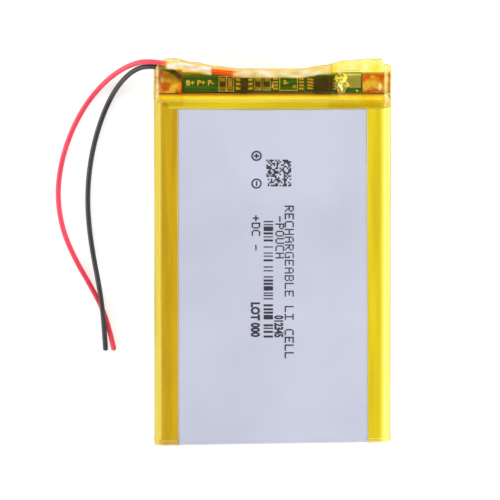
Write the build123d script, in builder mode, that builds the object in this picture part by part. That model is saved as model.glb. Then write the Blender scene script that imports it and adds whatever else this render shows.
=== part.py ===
"""Flat lithium-polymer pouch cell with a protection board and two leads.

The cell lies on its back: +Z is up through its face, +Y runs towards the board end and +X to the right.
The origin is the middle of its underside. All sizes are in millimetres.
"""

import os
from math import pi, radians, tan

from build123d import *

# ---- Driving dimensions ---------------------------------------------------------------------------
pack_width = 50.5
pack_length = 84.0
pack_thickness = 10.0

tape_t = 0.10  # side and shoulder tape
film_t = 0.20  # pouch laminate
wrap_t = 0.10  # amber end wrap
strip_t = 0.10  # tabs and nickel strips

half_width = pack_width / 2
end_y = pack_length / 2
seam_z = pack_thickness / 2  # the two halves of the pouch meet here
shoulder_y = 34.3  # outside of the cup's end wall
tape_edge_x = 20.0  # inner edge of each side tape
shoulder_tape_y = 31.7  # lower edge of the shoulder tape
edge_r = 1.8  # rounding of the tape along the face edges
corner_r = 2.3  # rounding of the tape's vertical corners

cup_half_width = 24.7
cup_corner_r = 2.6
terrace_y = 38.5  # free end of the top seal
side_seal_top_z = 8.0
side_seal_low_z = 7.6  # the side seals are pressed lower beside the board

board_length, board_width, board_t = 37.7, 3.6, 0.8
board_y = 36.4  # middle of the board
board_z = 5.95  # underside of the board
board_top_z = board_z + board_t
pad_t = 0.04

lead_d = 1.1
lead_r = lead_d / 2
strand_d = 0.62
strand_length = 0.25

# ---- Routes of the free leads, from where they leave the end wrap to their cut ends ---------------
red_route = [
    (-23.4, 40.9, 6.9),
    (-26.6, 41.3, 6.2),
    (-30.2, 40.0, 4.0),
    (-33.9, 37.4, 1.9),
    (-37.4, 33.8, 0.6),
    (-40.6, 29.4, 0.55),
    (-43.4, 23.6, 0.55),
    (-45.3, 17.0, 0.55),
    (-45.9, 10.4, 0.55),
    (-44.9, 3.6, 0.55),
    (-42.4, -2.6, 0.55),
    (-38.9, -8.8, 0.55),
    (-36.2, -14.0, 0.55),
    (-34.6, -19.4, 0.55),
    (-33.9, -22.8, 0.55),
]
black_route = [
    (-24.5, 39.9, 6.1),
    (-27.0, 40.0, 5.3),
    (-29.7, 38.6, 3.7),
    (-32.2, 35.9, 1.8),
    (-34.3, 32.5, 0.6),
    (-36.3, 28.0, 0.55),
    (-38.0, 22.4, 0.55),
    (-39.1, 16.4, 0.55),
    (-39.5, 9.8, 0.55),
    (-39.1, 3.4, 0.6),
    (-38.2, -2.6, 1.6),
    (-37.0, -8.6, 4.65),
    (-36.2, -14.6, 4.65),
    (-35.9, -19.2, 2.0),
    (-35.7, -22.8, 0.6),
]

os.makedirs("parts", exist_ok=True)


# ---- Helpers --------------------------------------------------------------------------------------
def save(piece, name):
    """Label one finished piece, write its STEP file and return it."""
    piece.part.label = name
    export_step(piece.part, f"parts/{name}.step")
    return piece.part


def rounded_block(half_x, low_y, high_y, low_z, high_z, vertical_r, face_r):
    """A block with rounded vertical corners and rounded edges round its two faces."""
    with BuildPart() as block:
        with BuildSketch(Plane.XY.offset(low_z)):
            with Locations((0, (low_y + high_y) / 2)):
                RectangleRounded(2 * half_x, high_y - low_y, vertical_r)
        extrude(amount=high_z - low_z)
        face_edges = block.faces().filter_by(Axis.Z).edges()
        fillet(face_edges, face_r)
    return block.part


def span_box(x, y, z, mode=Mode.ADD):
    """A box given by its span along each axis."""
    with Locations(((x[0] + x[1]) / 2, (y[0] + y[1]) / 2, (z[0] + z[1]) / 2)):
        Box(x[1] - x[0], y[1] - y[0], z[1] - z[0], mode=mode)


def bend_radii(points):
    """The arc at each corner: 0.45 of the shorter run over the tangent of half the turn."""
    radii = []
    for before, here, after in zip(points, points[1:], points[2:]):
        run_in = Vector(here) - Vector(before)
        run_out = Vector(after) - Vector(here)
        half_turn = radians(run_in.get_angle(run_out)) / 2
        radii.append(0.45 * min(run_in.length, run_out.length) / tan(half_turn))
    return radii


def lead_tube(points, name):
    """A round lead along straight runs joined by tangent arcs."""
    radii = bend_radii(points)
    start = Vector(points[0])
    with BuildPart() as lead:
        with BuildLine() as path:
            FilletPolyline(*points, radius=radii)
        with BuildSketch(Plane(origin=start, z_dir=Vector(points[1]) - start)):
            Circle(lead_r)
        sweep()
    length = sum(edge.length for edge in path.edges())
    share = lead.part.volume / (pi * lead_r**2 * length)
    print(name, "length", round(length, 2), "volume share", round(share, 4))
    print(name, "radii", [round(r, 1) for r in radii])
    save(lead, name)


# ---- Tapes ----------------------------------------------------------------------------------------
def tape_sleeve(open_end_y):
    """A thin sleeve that follows the whole outside of the cell, with its far end past open_end_y."""
    past_end = open_end_y + 2 * corner_r
    outside = rounded_block(half_width, -end_y, past_end, 0, pack_thickness, corner_r, edge_r)
    inside = rounded_block(
        half_width - tape_t,
        -end_y + tape_t,
        past_end - tape_t,
        tape_t,
        pack_thickness - tape_t,
        corner_r - tape_t,
        edge_r - tape_t,
    )
    return outside - inside


side_tape_end_y = shoulder_y + tape_t - edge_r  # the side tapes stop where the shoulder turns down


def make_side_tape(side, name):
    """The yellow tape over one folded side seal, lapping onto the face and the back."""
    across = sorted((side * tape_edge_x, side * half_width))
    with BuildPart() as tape:
        add(tape_sleeve(side_tape_end_y))
        span_box(across, (-end_y, side_tape_end_y), (0, pack_thickness), mode=Mode.INTERSECT)
    save(tape, name)


def make_shoulder_tape():
    """The yellow tape across the face's end, turned down over the shoulder to the top seal."""
    half_x = cup_half_width + tape_t
    outside = rounded_block(
        half_x, 0, shoulder_y + tape_t, 0, pack_thickness, cup_corner_r + tape_t, edge_r
    )
    inside = rounded_block(
        cup_half_width,
        tape_t,
        shoulder_y,
        tape_t,
        pack_thickness - tape_t,
        cup_corner_r,
        edge_r - tape_t,
    )
    low_z = seam_z + film_t + 0.1
    with BuildPart() as tape:
        add(outside - inside)
        kept_z = (low_z, pack_thickness)
        span_box((-half_x, half_x), (shoulder_tape_y, end_y), kept_z, mode=Mode.INTERSECT)
        for side in (-1, 1):
            across = sorted((side * tape_edge_x, side * half_width))
            span_box(across, (0, side_tape_end_y), (0, pack_thickness), mode=Mode.SUBTRACT)
    save(tape, "shoulder_tape")


# ---- Pouch ----------------------------------------------------------------------------------------
cup_low_y = -end_y + tape_t
seal_gap = 0.05  # between the cup's side wall and the seal folded up beside it


def hollow_cup():
    """Both drawn cups together, before they are parted at the seam."""
    outside = rounded_block(
        cup_half_width,
        cup_low_y,
        shoulder_y,
        tape_t,
        pack_thickness - tape_t,
        cup_corner_r,
        edge_r - tape_t,
    )
    inside = rounded_block(
        cup_half_width - film_t,
        cup_low_y + film_t,
        shoulder_y - film_t,
        tape_t + film_t,
        pack_thickness - tape_t - film_t,
        cup_corner_r - film_t,
        edge_r - tape_t - film_t,
    )
    return outside - inside


def tab_pocket():
    """Room in the top seal for the two tabs and their sealant films."""
    for tab_x in (positive_tab_x, negative_tab_x):
        half = tab_width / 2 + sealant_margin
        span_box(
            (tab_x - half, tab_x + half),
            (shoulder_y - film_t - 0.5, terrace_y + 1),
            (seam_z - strip_t / 2 - sealant_t, seam_z + strip_t / 2 + sealant_t),
            mode=Mode.SUBTRACT,
        )


def make_pouch_half(name, front):
    """One half of the pouch: a drawn cup, its top seal and its side seals, folded up and forward."""
    layer = film_t if front else 0
    seal_inner_x = cup_half_width + seal_gap + film_t - layer
    seal_x = (seal_inner_x, seal_inner_x + film_t)
    seal_z = (seam_z, seam_z + film_t) if front else (seam_z - film_t, seam_z)
    seal_low_y = cup_low_y + corner_r
    panel_z = (pack_thickness - 2 * tape_t, pack_thickness) if front else (0, 2 * tape_t)
    panel_top_y = shoulder_tape_y if front else side_tape_end_y
    with BuildPart() as half:
        add(hollow_cup())
        keep_z = (seam_z, pack_thickness) if front else (0, seam_z)
        span_box((-half_width, half_width), (-end_y, end_y), keep_z, mode=Mode.INTERSECT)
        # the middle of the face stands level with the tapes round it
        span_box((-tape_edge_x, tape_edge_x), (cup_low_y + edge_r, panel_top_y), panel_z)
        # top seal
        span_box((-seal_x[1], seal_x[1]), (shoulder_y - film_t, terrace_y), seal_z)
        tab_pocket()
        # side seals
        for side in (-1, 1):
            across = sorted((side * seal_x[0], side * seal_x[1]))
            ledge = sorted((side * (cup_half_width - film_t), side * seal_x[1]))
            span_box(ledge, (seal_low_y, terrace_y), seal_z)
            span_box(across, (seal_low_y, shoulder_y), (seal_z[0], side_seal_top_z))
            span_box(across, (shoulder_y, terrace_y), (seal_z[0], side_seal_low_z))
    save(half, name)


# ---- Electrode roll -------------------------------------------------------------------------------
roll_turns = 8
roll_pitch = 0.5  # all four layers of one turn
roll_core_r = 0.4
roll_z = seam_z + roll_pitch / 4
roll_flat_x = 19.2  # the flats run between the centres of the two rounded sides
roll_tail_x = 0.0  # the outer end lies on the underside
roll_low_y, roll_high_y = -40.4, 32.6
electrode_t, separator_t, layer_gap = 0.18, 0.05, 0.01


def make_roll_layer(name, offset, thickness, trim):
    """One strip of the flattened roll: half-turn arcs of growing radius joined by flats."""
    with BuildPart() as layer:
        # The sketch lies across the cell, with its own Y up; the layer runs along the cell.
        with BuildSketch(Plane.XZ.offset(-(roll_high_y - trim))):
            with BuildLine():
                for edge in (offset, offset + thickness):
                    for half_turn in range(2 * roll_turns):
                        r = roll_core_r + edge + half_turn * roll_pitch / 2
                        side = 1 if half_turn % 2 == 0 else -1
                        centre_z = roll_z + side * roll_pitch / 4
                        # the right arcs climb from the lower flat, the left arcs come back down
                        begin = (side * roll_flat_x, centre_z - side * r)
                        finish = (side * roll_flat_x, centre_z + side * r)
                        ThreePointArc(begin, (side * (roll_flat_x + r), centre_z), finish)
                        is_last = half_turn == 2 * roll_turns - 1
                        Line(finish, (roll_tail_x if is_last else -side * roll_flat_x, finish[1]))
                first = roll_core_r + offset
                last = first + (2 * roll_turns - 1) * roll_pitch / 2
                start_z = roll_z + roll_pitch / 4 - first
                end_z = roll_z - roll_pitch / 4 - last
                Line((roll_flat_x, start_z), (roll_flat_x, start_z - thickness))
                Line((roll_tail_x, end_z), (roll_tail_x, end_z - thickness))
            make_face()
        extrude(amount=roll_high_y - roll_low_y - 2 * trim)
    save(layer, name)


def make_roll_end_tape():
    """The tape that holds the roll's outer end down, on its underside."""
    low_z = tape_t + film_t
    with BuildPart() as tape:
        span_box((roll_tail_x - 8.0, roll_tail_x + 4.0), (-30.0, 25.0), (low_z, low_z + 0.05))
    save(tape, "roll_end_tape")


# ---- Tabs, sealant and links ----------------------------------------------------------------------
tab_width = 4.5
positive_tab_x = -12.0
negative_tab_x = 16.65
sealant_t = 0.06
sealant_margin = 1.0
tab_bend_r = 0.4
tab_upper_z = seam_z + 2 * tab_bend_r
tab_inner_y = 28.0
paper_z = (seam_z + film_t, tab_upper_z - strip_t / 2)


def strip(points, radius, x_centre, width):
    """A thin bent strip, drawn from the side and carried across its width."""
    with BuildSketch(Plane.YZ.offset(x_centre - width / 2)) as side_view:
        with BuildLine():
            FilletPolyline(*points, radius=radius)
        trace(line_width=strip_t)
    extrude(side_view.sketch, amount=width)


def make_tab(name, x_centre, inner_end_y):
    """A tab from inside the roll through the top seal, turned back on itself over the seal."""
    bend_y = terrace_y + 0.5
    points = [
        (tab_inner_y, seam_z),
        (bend_y, seam_z),
        (bend_y, tab_upper_z),
        (inner_end_y, tab_upper_z),
    ]
    with BuildPart() as tab:
        strip(points, tab_bend_r - 0.01, x_centre, tab_width)
    save(tab, name)


def make_tab_sealant(name, x_centre):
    """The two sealant films that bond one tab into the top seal."""
    half = tab_width / 2 + sealant_margin
    span = (shoulder_y - film_t, terrace_y)
    with BuildPart() as sealant:
        for low in (seam_z - strip_t / 2 - sealant_t, seam_z + strip_t / 2):
            span_box((x_centre - half, x_centre + half), span, (low, low + sealant_t))
    save(sealant, name)


link_low_z = tab_upper_z + strip_t  # middle of a strip lying on a tab
link_top_z = board_top_z + pad_t + strip_t / 2
link_wrap_y = board_y + board_width / 2 + 0.12


def make_positive_link():
    """A flat nickel strip between the positive tab and the board's underside."""
    with BuildPart() as link:
        span_box(
            (positive_tab_x - 2.0, positive_tab_x + 2.0),
            (board_y - 1.5, board_y + 1.6),
            (link_low_z - strip_t / 2, link_low_z + strip_t / 2),
        )
    save(link, "positive_link_strip")


def make_negative_link():
    """A nickel strip from the negative tab, round the board's outer edge, onto its top."""
    points = [
        (board_y - 0.9, link_low_z),
        (link_wrap_y, link_low_z),
        (link_wrap_y, link_top_z),
        (board_y - 0.9, link_top_z),
    ]
    with BuildPart() as link:
        strip(points, 0.12, negative_tab_x, tab_width - 0.2)
        # the visible leg ends in a shallow curve
        with BuildSketch(Plane.XY.offset(board_top_z)):
            with Locations((negative_tab_x - 1.2, board_y - 3.2)):
                Circle(3.0)
        extrude(amount=1, mode=Mode.SUBTRACT)
    return save(link, "negative_link_strip")


def make_insulating_strip():
    with BuildPart() as paper:
        span_box((-17.2, 18.8), (shoulder_y + 0.3, terrace_y - 0.1), paper_z)
        fillet(paper.edges().filter_by(Axis.Z), 0.4)
    save(paper, "insulating_strip")


# ---- Board and what is on it ----------------------------------------------------------------------
def make_circuit_board():
    with BuildPart() as board:
        with BuildSketch(Plane.XY.offset(board_z)):
            with Locations((0, board_y)):
                RectangleRounded(board_length, board_width, 0.25)
        extrude(amount=board_t)
    save(board, "circuit_board")


# component centres along the board
protection_x = -6.0
mosfet_x = 10.8
footprint_x = 3.4
chip_part_x = {"resistors": (-10.6, -3.05, -1.2), "capacitor": (-9.0,)}
body_z = board_top_z + pad_t


def make_board_pads():
    """Bare gold pads: the empty chip footprint and the pads under each fitted part."""
    with BuildPart() as pads:
        with BuildSketch(Plane.XY.offset(board_top_z)):
            for side in (-1, 1):
                with Locations((footprint_x + side * 2.76, board_y)):
                    with GridLocations(0, 0.72, 1, 4):
                        Rectangle(1.05, 0.42)
                with Locations((mosfet_x + side * 2.85, board_y)):
                    with GridLocations(0, 0.65, 1, 4):
                        Rectangle(1.15, 0.42)
                with Locations((protection_x + side * 1.35, board_y)):
                    with GridLocations(0, 0.95, 1, 3):
                        Rectangle(0.95, 0.6)
            for part_x in chip_part_x["resistors"] + chip_part_x["capacitor"]:
                with Locations((part_x, board_y)):
                    with GridLocations(0, 1.7, 1, 2):
                        Rectangle(0.95, 0.75)
        extrude(amount=pad_t)
        # the links and solder joints lie on pads of their own
        span_box(
            (negative_tab_x - 2.15, negative_tab_x + 2.1),
            (board_y - 0.85, board_y + 1.6),
            (board_top_z, board_top_z + pad_t),
        )
    return save(pads, "board_pads")


def make_chip(name, x_centre, size_x, size_y, height, standoff):
    """A moulded chip body with tapered sides."""
    with BuildPart() as chip:
        middle_z = body_z + standoff + height / 2
        for grow in (-1, 1):
            with BuildSketch(Plane.XY.offset(middle_z)):
                with Locations((x_centre, board_y)):
                    Rectangle(size_x, size_y)
            extrude(amount=grow * height / 2, taper=6)
    return save(chip, name)


def make_chip_leads(name, x_centre, body_x, reach_x, count, pitch, width, height):
    """Gull-wing leads on both sides of a chip, as a group of separate solids."""
    lead_t = 0.15
    foot_z = body_z + lead_t / 2
    knee_x = body_x / 2 + (reach_x - body_x) / 4
    with BuildPart() as leads:
        for side in (-1, 1):
            for row in range(count):
                row_y = board_y + (row - (count - 1) / 2) * pitch
                with BuildSketch(Plane.XZ.offset(-(row_y + width / 2))):
                    with BuildLine():
                        FilletPolyline(
                            (x_centre + side * (body_x / 2), foot_z + height),
                            (x_centre + side * knee_x, foot_z + height),
                            (x_centre + side * (knee_x + 0.12), foot_z),
                            (x_centre + side * reach_x / 2, foot_z),
                            radius=0.08,
                        )
                    trace(line_width=lead_t)
                extrude(amount=width)
    return save(leads, name)


def make_chip_parts():
    """Small two-ended parts: bodies, and their metal ends as separate solids."""
    body_length, body_width, body_height, cap_length = 1.15, 0.85, 0.5, 0.42
    for name, centres in (("resistor_bodies", "resistors"), ("capacitor_body", "capacitor")):
        with BuildPart() as bodies:
            for part_x in chip_part_x[centres]:
                with Locations((part_x, board_y, body_z + body_height / 2)):
                    Box(body_width, body_length, body_height)
        save(bodies, name)
    with BuildPart() as caps:
        for part_x in chip_part_x["resistors"] + chip_part_x["capacitor"]:
            for side in (-1, 1):
                cap_y = board_y + side * (body_length + cap_length) / 2
                with Locations((part_x, cap_y, body_z + body_height / 2 + 0.02)):
                    Box(body_width + 0.04, cap_length, body_height + 0.04)
        fillet(caps.edges().filter_by(Axis.Z), 0.08)
    save(caps, "chip_end_caps")


def make_solder_drop(name, centre, radius, height, neighbours):
    """A rounded drop of solder on a flat, cut away where other pieces stand in it."""
    with BuildPart() as dome:
        with BuildSketch(Plane.XZ.offset(-centre[1])):
            with BuildLine():
                base = (centre[0], centre[2])
                top = (centre[0], centre[2] + height)
                Line(base, top)
                ThreePointArc(
                    top,
                    (centre[0] + radius * 0.74, centre[2] + height * 0.66),
                    (centre[0] + radius, centre[2]),
                )
                Line((centre[0] + radius, centre[2]), base)
            make_face()
        revolve(axis=Axis((centre[0], centre[1], 0), (0, 0, 1)))
        for neighbour in neighbours:
            add(neighbour, mode=Mode.SUBTRACT)
    save(dome, name)


def make_lead_solder(name, centre, radius):
    """The small heap of solder that holds one lead's end, eight-sided with sloping sides."""
    with BuildPart() as heap:
        with BuildSketch(Plane.XY.offset(centre[2])):
            with Locations((centre[0], centre[1])):
                RegularPolygon(radius, 8)
        extrude(amount=0.3, taper=25)
    save(heap, name)


# ---- Leads under the wrap -------------------------------------------------------------------------
def carried_back(route, share):
    """The point that carries a route's first run straight back, under the wrap."""
    start, second = Vector(route[0]), Vector(route[1])
    back = start - (second - start) * share
    return (back.X, back.Y, back.Z)


red_inner_route = [
    red_route[0],
    carried_back(red_route, 0.8),
    (-16.4, 39.9, 7.6),
    (-11.9, 39.1, 7.6),
    (-8.5, 38.75, 7.5),
    (-5.4, 38.6, 7.45),
]
black_inner_route = [
    black_route[0],
    carried_back(black_route, 0.7),
    (-21.1, 39.0, 6.75),
    (-19.6, 37.8, 6.4),
]


def make_lead_tip(route, name):
    """The bare strands at a lead's cut end."""
    end = Vector(route[-1])
    along = end - Vector(route[-2])
    with BuildPart() as tip:
        with BuildSketch(Plane(origin=end, z_dir=along)):
            Circle(strand_d / 2)
        extrude(amount=strand_length)
    save(tip, name)


# ---- End wrap -------------------------------------------------------------------------------------
def wrap_block(inset):
    """The outer shape of the amber wrap: a nose over the board, hollowed along its free end."""
    side_x = half_width - inset
    nose_y = end_y - inset
    start_y = shoulder_y + tape_t if inset == 0 else shoulder_y - 1
    with BuildPart() as block:
        with BuildSketch(Plane.XY):
            with BuildLine():
                Polyline(
                    (-21.0, nose_y),
                    (-23.2, nose_y),
                    (-side_x, 39.4 - inset),
                    (-side_x, start_y),
                    (side_x, start_y),
                    (side_x, 40.6 - inset),
                    (24.0, nose_y),
                    (17.5, nose_y),
                )
                ThreePointArc((17.5, nose_y), (-1.5, 39.6 - inset), (-21.0, nose_y))
            make_face()
        extrude(amount=pack_thickness)
        with BuildSketch(Plane.YZ):
            with BuildLine():
                Polyline(
                    (start_y, 9.6 - inset),
                    (38.6, 8.9 - inset),
                    (end_y - 0.5, 8.5 - inset),
                    (nose_y, 7.8 - inset),
                    (nose_y, 4.8 + inset),
                    (end_y - 0.8, 4.0 + inset),
                    (start_y, 0.7 + inset),
                    close=True,
                )
            make_face()
        extrude(amount=pack_width, both=True, mode=Mode.INTERSECT)
    return block.part


def make_end_wrap():
    """The amber tape round the board end, open towards the cell, with holes for the leads."""
    with BuildPart() as wrap:
        add(wrap_block(0) - wrap_block(wrap_t))
        for route, inner in ((red_route, red_inner_route), (black_route, black_inner_route)):
            back, front = Vector(inner[1]), Vector(route[1])
            with BuildSketch(Plane(origin=back, z_dir=front - back)):
                Circle(lead_r + 0.06)
            extrude(amount=(front - back).length, mode=Mode.SUBTRACT)
    save(wrap, "end_wrap")


# ---- Build everything -----------------------------------------------------------------------------
make_side_tape(-1, "side_tape_left")
make_side_tape(1, "side_tape_right")
make_shoulder_tape()
make_pouch_half("pouch_front_film", front=True)
make_pouch_half("pouch_back_film", front=False)

layer_offset = 0.0
for layer_name, layer_t, layer_trim in (
    ("separator_inner", separator_t, 0.0),
    ("cathode_strip", electrode_t, 1.2),
    ("separator_outer", separator_t, 0.0),
    ("anode_strip", electrode_t, 0.7),
):
    make_roll_layer(layer_name, layer_offset, layer_t, layer_trim)
    layer_offset += layer_t + layer_gap
make_roll_end_tape()

make_tab("positive_tab", positive_tab_x, board_y - 1.0)
make_tab("negative_tab", negative_tab_x, board_y - 1.0)
make_tab_sealant("positive_tab_sealant", positive_tab_x)
make_tab_sealant("negative_tab_sealant", negative_tab_x)
make_positive_link()
negative_link = make_negative_link()
make_insulating_strip()

make_circuit_board()
board_pads = make_board_pads()
make_chip("protection_ic", protection_x, size_x=1.6, size_y=3.0, height=0.95, standoff=0.05)
make_chip_leads(
    "protection_ic_leads",
    protection_x,
    body_x=1.6,
    reach_x=3.4,
    count=3,
    pitch=0.95,
    width=0.42,
    height=0.5,
)
mosfet_chip = make_chip(
    "mosfet_chip", mosfet_x, size_x=4.1, size_y=3.0, height=0.9, standoff=0.05
)
mosfet_leads = make_chip_leads(
    "mosfet_leads",
    mosfet_x,
    body_x=4.1,
    reach_x=6.4,
    count=4,
    pitch=0.65,
    width=0.26,
    height=0.5,
)
make_chip_parts()
make_solder_drop(
    "tab_solder",
    (14.4, board_y + 0.1, board_top_z),
    radius=1.5,
    height=1.15,
    neighbours=(negative_link, board_pads, mosfet_chip, mosfet_leads),
)
make_lead_solder("red_lead_solder", (-4.75, board_y + 1.45, board_top_z), radius=0.36)
make_lead_solder("black_lead_solder", (-18.2, board_y, board_z - 0.3), radius=0.5)

lead_tube(red_route, "red_lead")
lead_tube(black_route, "black_lead")
lead_tube(red_inner_route, "red_lead_inner")
lead_tube(black_inner_route, "black_lead_inner")
make_lead_tip(red_route, "red_lead_tip")
make_lead_tip(black_route, "black_lead_tip")
make_end_wrap()
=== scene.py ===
"""Looks of the flat pouch battery cell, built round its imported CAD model.

The cell lies on its back with its printed face up, and +Y runs towards the board end. Sizes are in
millimetres and turned into metres when a mesh is made. The leads' routes and the studio are in metres.
"""

import random
from math import cos, pi, radians, sin, sqrt

import bmesh
import bpy
from mathutils import Matrix, Vector, noise


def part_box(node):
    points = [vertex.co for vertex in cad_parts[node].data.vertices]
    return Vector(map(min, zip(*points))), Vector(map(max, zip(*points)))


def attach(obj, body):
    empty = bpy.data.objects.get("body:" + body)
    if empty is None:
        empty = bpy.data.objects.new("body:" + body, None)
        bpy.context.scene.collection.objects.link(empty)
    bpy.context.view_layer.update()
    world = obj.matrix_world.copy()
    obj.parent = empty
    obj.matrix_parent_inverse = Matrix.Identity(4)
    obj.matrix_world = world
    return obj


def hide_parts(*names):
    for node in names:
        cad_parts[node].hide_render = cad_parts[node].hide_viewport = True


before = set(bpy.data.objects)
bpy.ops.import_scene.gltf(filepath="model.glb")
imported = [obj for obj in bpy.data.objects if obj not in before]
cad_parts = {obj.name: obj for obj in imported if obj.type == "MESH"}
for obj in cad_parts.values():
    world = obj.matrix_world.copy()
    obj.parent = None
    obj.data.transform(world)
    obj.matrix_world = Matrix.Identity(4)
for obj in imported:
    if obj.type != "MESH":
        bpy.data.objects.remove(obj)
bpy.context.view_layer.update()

# ---- Sizes from the frame, in millimetres ----------------------------
MM = 0.001


def box_mm(node):
    low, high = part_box(node)
    return low / MM, high / MM


tape_low, tape_high = box_mm("side_tape_right")
shoulder_low, shoulder_high = box_mm("shoulder_tape")
pouch_high = box_mm("pouch_front_film")[1]
board_low, board_high = box_mm("circuit_board")

half_width = tape_high.x
tape_edge_x = tape_low.x
low_y = tape_low.y
wall_y = shoulder_high.y
shoulder_edge_y = shoulder_low.y
terrace_y = pouch_high.y
face_z = tape_high.z
seam_z = face_z / 2
board_y = (board_low.y + board_high.y) / 2
board_top = board_high.z

tape_thickness = 0.06
film_thickness = 0.04
laminate_thickness = 0.10
tape_top_z = face_z + 0.02
tape_side_x = half_width - 0.05
pouch_half_x = half_width - 0.65
pouch_face_z = face_z - 0.04
# roundings of the cup: how far each reaches over the face, and how square it is
side_round, side_power = 2.2, 2.2
end_round, end_power = 3.0, 3.2
shoulder_round, shoulder_power = 1.9, 2.3
# plan corners of the pouch and of the tape over it, at the folded end and at the shoulder
pouch_corner, pouch_shoulder_corner = 0.7, 2.2
tape_corner, tape_shoulder_corner = 0.4, 1.8
# the folded end's slant, from its middle to either corner, and how far up the cell it fades out
end_slant, end_slant_reach = 0.4, 12

# ---- Routes of the free leads, in metres -----------------------------
LEAD_DIAMETER = 0.0011
RED_ROUTE = [
    (-0.0234, 0.0409, 0.0069),
    (-0.0266, 0.0413, 0.0062),
    (-0.0302, 0.0400, 0.0040),
    (-0.0339, 0.0374, 0.0019),
    (-0.0374, 0.0338, 0.0006),
    (-0.0406, 0.0294, 0.00055),
    (-0.0434, 0.0236, 0.00055),
    (-0.0453, 0.0170, 0.00055),
    (-0.0459, 0.0104, 0.00055),
    (-0.0449, 0.0036, 0.00055),
    (-0.0424, -0.0026, 0.00055),
    (-0.0389, -0.0088, 0.00055),
    (-0.0362, -0.0140, 0.00055),
    (-0.0346, -0.0194, 0.00055),
    (-0.0339, -0.0228, 0.00055),
]
BLACK_ROUTE = [
    (-0.0245, 0.0399, 0.0061),
    (-0.0270, 0.0400, 0.0053),
    (-0.0297, 0.0386, 0.0037),
    (-0.0322, 0.0359, 0.0018),
    (-0.0343, 0.0325, 0.0006),
    (-0.0363, 0.0280, 0.00055),
    (-0.0380, 0.0224, 0.00055),
    (-0.0391, 0.0164, 0.00055),
    (-0.0395, 0.0098, 0.00055),
    (-0.0391, 0.0034, 0.0006),
    (-0.0382, -0.0026, 0.0010),
    (-0.0370, -0.0086, 0.0021),
    (-0.0362, -0.0146, 0.0021),
    (-0.0359, -0.0192, 0.0011),
    (-0.0357, -0.0228, 0.0006),
]
RED_INNER_ROUTE = [
    (-0.0234, 0.0409, 0.0069),
    (-0.02084, 0.04058, 0.00746),
    (-0.0164, 0.0399, 0.0076),
    (-0.0119, 0.0391, 0.0076),
    (-0.0085, 0.03875, 0.0075),
    (-0.0054, 0.0386, 0.00745),
]
BLACK_INNER_ROUTE = [
    (-0.0245, 0.0399, 0.0061),
    (-0.02275, 0.03983, 0.00666),
    (-0.0211, 0.0390, 0.00675),
    (-0.0196, 0.0378, 0.0064),
]


# ---- Mesh helpers ----------------------------------------------------
def place(name, data, material, replaces=()):
    """Put new mesh or curve data into the scene as a piece that rides on the cell."""
    piece = bpy.data.objects.new(name, data)
    bpy.context.scene.collection.objects.link(piece)
    data.materials.clear()
    data.materials.append(material)
    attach(piece, "root")
    if replaces:
        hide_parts(*replaces)
    return piece


def sheet_mesh(name, *sheets):
    """Smooth sheets of quads, each through rows of points in millimetres."""
    points, faces = [], []
    for rows in sheets:
        start, count = len(points), len(rows[0])
        points += [Vector(point) * MM for row in rows for point in row]
        for row in range(len(rows) - 1):
            for column in range(count - 1):
                corner = start + row * count + column
                faces.append((corner, corner + 1, corner + count + 1, corner + count))
    mesh = bpy.data.meshes.new(name)
    mesh.from_pydata(points, [], faces)
    mesh.shade_smooth()
    return mesh


def thicken(piece, thickness):
    """Give a sheet its thickness, behind the side that its normals point from."""
    solidify = piece.modifiers.new("thickness", "SOLIDIFY")
    solidify.thickness = thickness * MM
    solidify.offset = -1
    return piece


def smooth_line(points, steps):
    """Points along a Catmull-Rom curve through the given ones."""
    points = [Vector(point) for point in points]
    ends = [2 * points[0] - points[1], *points, 2 * points[-1] - points[-2]]
    line = []
    for a, b, c, d in zip(ends, ends[1:], ends[2:], ends[3:]):
        for step in range(steps):
            t = step / steps
            bend = (2 * a - 5 * b + 4 * c - d) * t**2 + (3 * b - a - 3 * c + d) * t**3
            line.append(b + ((c - a) * t + bend) / 2)
    line.append(points[-1])
    return line


def height_along(outline, x):
    """The value at x on an outline of (x, value) points, eased between them."""
    for (x0, v0), (x1, v1) in zip(outline, outline[1:]):
        if x <= x1:
            t = max(0.0, (x - x0) / (x1 - x0))
            return v0 + (v1 - v0) * t * t * (3 - 2 * t)
    return outline[-1][1]


def kept_in_range(share):
    """A share kept from 0 to 1."""
    return min(1.0, max(0.0, share))


def spread(low, high, step):
    """Even stations from low to high, no more than a step apart."""
    count = max(1, round((high - low) / step))
    return [low + (high - low) * k / count for k in range(count + 1)]


def rim_profile(power, count):
    """(inset, height) shares round a superellipse quarter, from a rim at (0, 0) to the flat at (1, 1)."""
    angles = [k * pi / 2 / count for k in range(count + 1)]
    return [(1 - cos(angle) ** (2 / power), sin(angle) ** (2 / power)) for angle in angles]


def plan_inset(distance, radius):
    """How far a rounded plan corner pulls the side in, at a distance from the end."""
    if distance >= radius:
        return 0.0
    return radius - sqrt(radius**2 - (radius - distance) ** 2)


def slanted(x, y):
    """The folded end is a little longer on the left: the y of a point moved to suit."""
    return y + end_slant * (x / half_width) * max(0.0, 1 - (y - low_y) / end_slant_reach)


def wrinkle(point, size, seed, stretch=(1, 1, 1)):
    """Smooth unevenness from about -1 to 1, with features of about size millimetres."""
    scaled = Vector((point[k] / (size * stretch[k]) for k in range(3)))
    return noise.noise(scaled + Vector((seed, seed / 2, 0)))


def crease(point, size, seed):
    """Sharp-edged folds from about -1 to 1, as in crumpled film."""
    coarse = 1 - 4 * abs(wrinkle(point, size, seed))
    fine = 1 - 4 * abs(wrinkle(point, size * 0.42, seed + 7))
    return 0.7 * coarse + 0.3 * fine


# ---- Material helpers ------------------------------------------------
def new_tree(name):
    material = bpy.data.materials.new(name)
    material.use_nodes = True
    material.node_tree.nodes.clear()
    return material, material.node_tree


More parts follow.
